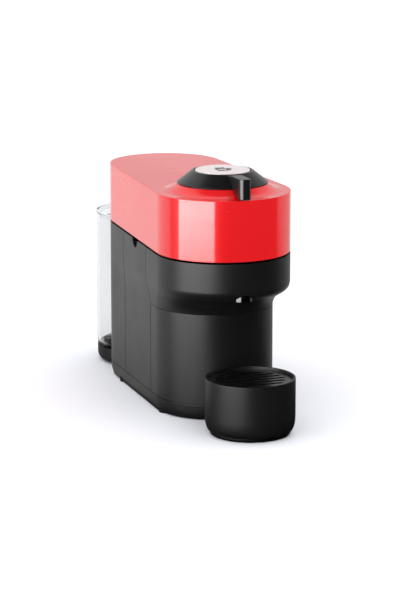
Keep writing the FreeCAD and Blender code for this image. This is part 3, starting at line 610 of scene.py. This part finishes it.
def grid():
    cu = bpy.data.curves.new("grid", "CURVE")
    cu.dimensions = "2D"
    cu.fill_mode = "BOTH"

    def poly(points):
        sp = cu.splines.new("POLY")
        sp.points.add(len(points) - 1)
        for p, (x, y) in zip(sp.points, points):
            p.co = (x * MM, y * MM, 0, 1)
        sp.use_cyclic_u = True

    bev = 0.35
    R, nr, ny = 41.4 - bev, 8.6 + bev, 37.5
    a0 = math.asin(nr / R)
    pts = []
    for k in range(161):
        a = a0 + (2 * math.pi - 2 * a0) * k / 160
        pts.append((R * math.sin(a), R * math.cos(a)))
    for k in range(25):
        a = math.pi + math.pi * k / 24
        pts.append((nr * math.cos(a), ny + nr * math.sin(a)))
    poly(pts)
    for yy in (-33.6, -24.2, -14.8, -5.4, 4.0, 13.4, 22.8):
        half = math.sqrt((44.7 - 9.0) ** 2 - max(abs(yy), abs(yy + 4.2)) ** 2)
        h, c = 2.1 + bev, yy + 2.1
        end = max(half - 2.1, 1.0)
        pts = []
        for s in (1, -1):
            for k in range(13):
                a = math.pi / 2 - math.pi * k / 12
                pts.append((s * (end + h * math.cos(a)), c + s * h * math.sin(a)))
        poly(pts)
    cu.extrude = 0.0014 - bev * MM
    cu.bevel_depth = bev * MM
    cu.bevel_resolution = 2
    o = bpy.data.objects.new("grid_curve", cu)
    scene.collection.objects.link(o)
    o.location = (0, TRAY_Y, 0.0522)
    bpy.context.view_layer.update()
    bm = applied(o)
    bm.transform(Matrix.Translation((0, TRAY_Y, 0.0522)))
    bpy.data.objects.remove(o)
    bpy.data.curves.remove(cu)
    ring = bmesh.new()
    pts = rounded(mm([(39.3, 49.0), (41.3, 49.0), (41.3, 51.6), (39.3, 51.6)]), 0.0003, 2)
    cols = []
    a1 = math.asin(9.0 / 40.3)
    for k in range(145):
        a = a1 + (2 * math.pi - 2 * a1) * k / 144
        cols.append([ring.verts.new((rr * math.sin(a), TRAY_Y + rr * math.cos(a), z)) for rr, z in pts])
    for a, b in zip(cols, cols[1:]):
        for i in range(len(pts)):
            j = (i + 1) % len(pts)
            ring.faces.new((a[i], a[j], b[j], b[i]))
    ring.faces.new(cols[0])
    ring.faces.new(cols[-1])
    joined(bm, ring)
    finish_mesh("visual_drip_grid", bm, "grid", SLOT_OF["drip_grid"], ["drip_grid"], sharp=40)


# ------------------------------------------------------------------ outlet
def lens_ring(r, z, n=28, off=0.006, y=-0.1500):
    """Outline of two crossed circles, with its two corners kept."""
    h = math.acos(off / r)
    pts = []
    for side in (-1, 1):
        for k in range(n):
            a = -h + 2 * h * k / n
            pts.append((side * r * math.sin(a) * -1, y + side * (r * math.cos(a) - off), z))
    return pts


def outlet():
    bm = bmesh.new()
    prof = [(10.0, 139.0), (10.0, 128.1), (9.92, 127.85), (9.75, 127.7), (9.15, 127.7), (8.98, 127.85), (8.9, 128.1), (8.9, 139.0)]
    loop_rings(bm, [lens_ring(r * MM, z * MM) for r, z in prof])
    finish_mesh("visual_outlet_trim", bm, "base", "chrome_trim", ["outlet_trim"], sharp=45)


# ------------------------------------------------------------------ tank and lid
def crescent_ring(i_out, i_in, z, fillet, n_out=96, n_in=64, n_f=8):
    """Crescent outline at height z: outer arc, rounded horns, inner arc; a fixed count of points."""
    R, r = TANK_R - i_out, BACK_R + TANK_GAP + i_in
    # circle of the fillet: inside the outer circle, outside the inner one
    f = fillet
    d = TANK_Y - BACK_Y
    ro, ri = R - f, r + f
    # centre (cx, cy) at distance ro from the tank's centre and ri from the back's centre
    cy = (ri * ri - ro * ro + d * d) / (2 * d)
    cx = math.sqrt(ri * ri - cy * cy)
    fc = Vector((cx, BACK_Y + cy))
    to_out = (fc - Vector((0, TANK_Y))).normalized()
    to_in = (Vector((0, BACK_Y)) - fc).normalized()
    a_out = math.atan2(to_out.x, to_out.y)             # from +Y towards +X
    a_in = math.atan2(fc.x, fc.y - BACK_Y)
    pts = []
    for k in range(n_out):                             # from the right horn round the back to the left one
        a = a_out - 2 * a_out * k / n_out
        pts.append((R * math.sin(a), TANK_Y + R * math.cos(a), z))

    def horn(side):
        s, e = math.atan2(to_out.y, to_out.x), math.atan2(to_in.y, to_in.x)
        while e > s:
            e -= 2 * math.pi
        return [(side * (fc.x + f * math.cos(s + (e - s) * k / n_f)), fc.y + f * math.sin(s + (e - s) * k / n_f), z) for k in range(n_f + 1)]

    left = horn(-1)
    right = horn(1)
    pts += left[:-1]
    for k in range(n_in):
        a = -a_in + 2 * a_in * k / n_in
        pts.append((r * math.sin(a), BACK_Y + r * math.cos(a), z))
    pts += right[::-1][:-1]
    return pts


def tank():
    z0, z1 = 0.0183, 0.1646
    bm = bmesh.new()
    rings = []
    for k in range(7):
        a = math.pi / 2 * k / 6
        i = 0.005 - 0.005 * math.sin(a)
        rings.append(crescent_ring(i, min(i, 0.0006), z0 + 0.005 - 0.005 * math.cos(a), 0.0028))
    for z in (0.045, 0.075, 0.105, 0.135, z1 - 0.0004):
        rings.append(crescent_ring(0, 0, z, 0.0028))
    rings.append(crescent_ring(0.0002, 0.0002, z1 - 0.0001, 0.0027))
    rings.append(crescent_ring(0.0005, 0.0005, z1, 0.0025))
    rings.append(crescent_ring(0.0016, 0.0016, z1, 0.0014))
    rings.append(crescent_ring(0.0020, 0.0020, z1 - 0.0004, 0.0012))
    for z in (0.135, 0.105, 0.075, 0.045):
        rings.append(crescent_ring(0.0020, 0.0020, z, 0.0012))
    for k in range(6):
        a = math.pi / 2 * k / 5
        i = 0.0020 + 0.003 - 0.003 * math.cos(a)
        rings.append(crescent_ring(i, 0.0020 + min(i - 0.0020, 0.0012), 0.0207 + 0.003 - 0.003 * math.sin(a), 0.0012))
    loop_rings(bm, rings, close_first=True, close_last=True, around=False)
    bmesh.ops.triangulate(bm, faces=[f for f in bm.faces if len(f.verts) > 4])
    bm = subtract(bm, rod_bm(-0.040, 0.157, 0.010, 0.024, 0.0066))
    seat = bmesh.new()
    lathe(seat, rounded(mm([(6.6, 20.8), (9.0, 20.8), (9.0, 22.2), (6.6, 22.2)]), 0.0002, 2), -0.040, 0.157, 64)
    joined(bm, seat)
    finish_mesh("visual_water_tank", bm, "tank", "clear_plastic", ["water_tank"], sharp=40)

    # lid: a flat rounded plate with a skirt that drops inside the rim
    bm = bmesh.new()
    t0, t1 = z1 + 0.0002, z1 + 0.0032
    rings = []
    for i, z in ((0.0006, t0), (0.0001, t0 + 0.0003), (0.0, t0 + 0.0008), (0.0, t1 - 0.0011), (0.0002, t1 - 0.0006), (0.0006, t1 - 0.0002), (0.0012, t1)):
        rings.append(crescent_ring(i, 0.0008 + i, z, 0.0030 - i))
    loop_rings(bm, rings, close_last=True, around=False)
    low = []
    for i, z in ((0.0006, t0), (0.0025, t0), (0.0025, z1 - 0.0037), (0.0028, z1 - 0.0040), (0.0040, z1 - 0.0040), (0.0043, z1 - 0.0037), (0.0043, t0 + 0.0002)):
        low.append(crescent_ring(i, i + (0.0008 if i < 0.001 else 0.0), z, 0.0024 if i < 0.001 else 0.0012))
    low[0] = rings[0]
    loop_rings(bm, low, close_last=True, around=False)
    bmesh.ops.triangulate(bm, faces=[f for f in bm.faces if len(f.verts) > 4])
    finish_mesh("visual_tank_lid", bm, "lid", "lid_plastic", ["tank_lid"], sharp=40)


head_shell()
knob()
lever()
button()
tray()
grid()
outlet()
tank()
for node_name, width in (("front_collar", 0.00015), ("mid_casing_left", 0.00015), ("mid_casing_right", 0.00015), ("rear_casing", 0.00015), ("capsule_container", 0.0004), ("base_plate", 0.0004),
                         ("tank_dock", 0.0006), ("rubber_feet", 0.0004), ("coffee_outlet", 0.0002), ("power_gland", 0.0005), ("top_deck", 0.0003), ("capsule_chute", 0.0004), ("capsule_drum", 0.0004),
                         ("coffee_collector", 0.0003), ("latch_hooks", 0.0005), ("lock_ring", 0.0004), ("hinge_bracket", 0.0004), ("hinge_pin", 0.0003), ("clamp_bell", 0.0004),
                         ("bottom_cover", 0.0004), ("head_chassis", 0.0003), ("tank_valve", 0.0003), ("valve_poppet", 0.0003), ("dock_spigot", 0.0002)):
    softened(node_name, width)

# ------------------------------------------------------------------ stage and light
floor_mesh = bpy.data.meshes.new("floor")
bm = bmesh.new()
bmesh.ops.create_grid(bm, x_segments=2, y_segments=2, size=6.0)
bm.to_mesh(floor_mesh)
bm.free()
floor = bpy.data.objects.new("floor", floor_mesh)
scene.collection.objects.link(floor)
fm = Mat("floor_white", (0.905, 0.918, 0.965), 0.9, spec=0.1)
fm.link(fm.ramp(fm.noise(fm.coords(), 3.0, 2.0), [(0.2, (0.900, 0.913, 0.960)), (0.8, (0.910, 0.923, 0.970))]), fm.p.inputs["Base Color"])
floor_mesh.materials.append(fm.mat)
floor.visible_glossy = False

# A dark card on the floor that only reflections see: it fades out away from the
# machine, so low walls mirror less of the softboxes than high ones.
card_mesh = bpy.data.meshes.new("dark_card")
bm = bmesh.new()
bmesh.ops.create_grid(bm, x_segments=2, y_segments=2, size=6.0)
bm.to_mesh(card_mesh)
bm.free()
card = bpy.data.objects.new("dark_card", card_mesh)
scene.collection.objects.link(card)
card.location.z = -0.001
cm = bpy.data.materials.new("dark_card")
cm.use_nodes = True
ct = cm.node_tree
ct.nodes.clear()


def cmath(op, a, b=None):
    n = ct.nodes.new("ShaderNodeMath")
    n.operation = op
    for i, v in enumerate((a, b)):
        if v is None:
            continue
        if isinstance(v, (int, float)):
            n.inputs[i].default_value = v
        else:
            ct.links.new(v, n.inputs[i])
    return n.outputs[0]


c_geo = ct.nodes.new("ShaderNodeNewGeometry")
c_sep = ct.nodes.new("ShaderNodeSeparateXYZ")
ct.links.new(c_geo.outputs["Position"], c_sep.inputs[0])
along = cmath("MAXIMUM", cmath("SUBTRACT", cmath("ABSOLUTE", c_sep.outputs["Y"]), 0.15), 0.0)
away = cmath("SQRT", cmath("ADD", cmath("MULTIPLY", c_sep.outputs["X"], c_sep.outputs["X"]), cmath("MULTIPLY", along, along)))
away = cmath("MAXIMUM", cmath("SUBTRACT", away, 0.055), 0.0)
rise = cmath("ADD", cmath("MULTIPLY", away, 0.36), cmath("MULTIPLY", cmath("MULTIPLY", away, away), 0.42))
fade_front = cmath("MINIMUM", cmath("ADD", rise, 0.012), 1.0)
fade_back = cmath("SUBTRACT", 1.0, cmath("MULTIPLY", cmath("POWER", 2.718282, cmath("MULTIPLY", away, -1.0 / 0.10)), 0.6))
share = cmath("MINIMUM", cmath("MAXIMUM", cmath("DIVIDE", cmath("ADD", c_sep.outputs["Y"], 0.08), 0.12), 0.0), 1.0)
fade = cmath("ADD", cmath("MULTIPLY", fade_back, share), cmath("MULTIPLY", fade_front, cmath("SUBTRACT", 1.0, share)))
c_tr = ct.nodes.new("ShaderNodeBsdfTransparent")
ct.links.new(fade, c_tr.inputs["Color"])
c_out = ct.nodes.new("ShaderNodeOutputMaterial")
ct.links.new(c_tr.outputs[0], c_out.inputs["Surface"])
card_mesh.materials.append(cm)
for flag in ("visible_camera", "visible_diffuse", "visible_transmission", "visible_shadow", "visible_volume_scatter"):
    setattr(card, flag, False)

world = bpy.data.worlds.new("studio")
scene.world = world
world.use_nodes = True
wt = world.node_tree
wt.nodes.clear()
out = wt.nodes.new("ShaderNodeOutputWorld")
bg = wt.nodes.new("ShaderNodeBackground")
wt.links.new(bg.outputs[0], out.inputs[0])


def wmath(op, a, b=None, clamp=False):
    n = wt.nodes.new("ShaderNodeMath")
    n.operation = op
    n.use_clamp = clamp
    for i, v in enumerate((a, b)):
        if v is None:
            continue
        if isinstance(v, (int, float)):
            n.inputs[i].default_value = v
        else:
            wt.links.new(v, n.inputs[i])
    return n.outputs[0]


def band(x, lo, hi, soft):
    """1 between lo and hi, with soft edges."""
    up = wmath("DIVIDE", wmath("SUBTRACT", x, lo - soft / 2), soft, True)
    down = wmath("DIVIDE", wmath("SUBTRACT", hi + soft / 2, x), soft, True)
    return wmath("MULTIPLY", up, down)


tc = wt.nodes.new("ShaderNodeTexCoord")
sep = wt.nodes.new("ShaderNodeSeparateXYZ")
wt.links.new(tc.outputs["Generated"], sep.inputs[0])
az = wmath("MULTIPLY", wmath("ARCTAN2", sep.outputs["X"], wmath("MULTIPLY", sep.outputs["Y"], -1.0)), 180 / math.pi)
el = wmath("MULTIPLY", wmath("ARCSINE", sep.outputs["Z"]), 180 / math.pi)
# softboxes of the studio, as directions: (azimuth from the front towards +X, low, high, edge), (elevation low, high, edge), strength
BOXES = [
    ((-98.5, -33.0, 3.0), (-30.0, 40.0, 12.0), 9.6),
    ((-240.0, -119.0, 6.0), (-50.0, 4.0, 8.0), 0.95),
    ((139.0, 240.0, 8.0), (-50.0, 4.0, 8.0), 0.80),
    ((-240.0, -119.0, 6.0), (4.0, 60.0, 8.0), 0.74),
    ((139.0, 240.0, 8.0), (4.0, 60.0, 8.0), 0.62),
    ((-120.0, -97.0, 6.0), (-40.0, 50.0, 20.0), 0.30),
    ((86.0, 140.0, 4.0), (-40.0, 50.0, 16.0), 0.52),
]
total = None
for (a0, a1, asoft), (e0, e1, esoft), strength in BOXES:
    v = wmath("MULTIPLY", wmath("MULTIPLY", band(az, a0, a1, asoft), band(el, e0, e1, esoft)), strength)
    total = v if total is None else wmath("ADD", total, v)
total = wmath("ADD", total, 0.02)
dome = wmath("ADD", wmath("MULTIPLY", wmath("MAXIMUM", sep.outputs["Z"], 0.0), 0.95), 0.72)
lp = wt.nodes.new("ShaderNodeLightPath")


def wmix(factor, a, b):
    n = wt.nodes.new("ShaderNodeMix")
    n.data_type = "FLOAT"
    wt.links.new(factor, n.inputs["Factor"])
    for key, v in (("A", a), ("B", b)):
        if isinstance(v, float):
            n.inputs[key].default_value = v
        else:
            wt.links.new(v, n.inputs[key])
    return n.outputs["Result"]


level = wmix(lp.outputs["Is Glossy Ray"], dome, total)
level = wmix(wmath("MAXIMUM", lp.outputs["Is Camera Ray"], lp.outputs["Is Transmission Ray"]), level, 1.2)
wt.links.new(level, bg.inputs["Strength"])
bg.inputs["Color"].default_value = (1, 1, 1, 1)
world.cycles.sampling_method = "NONE"
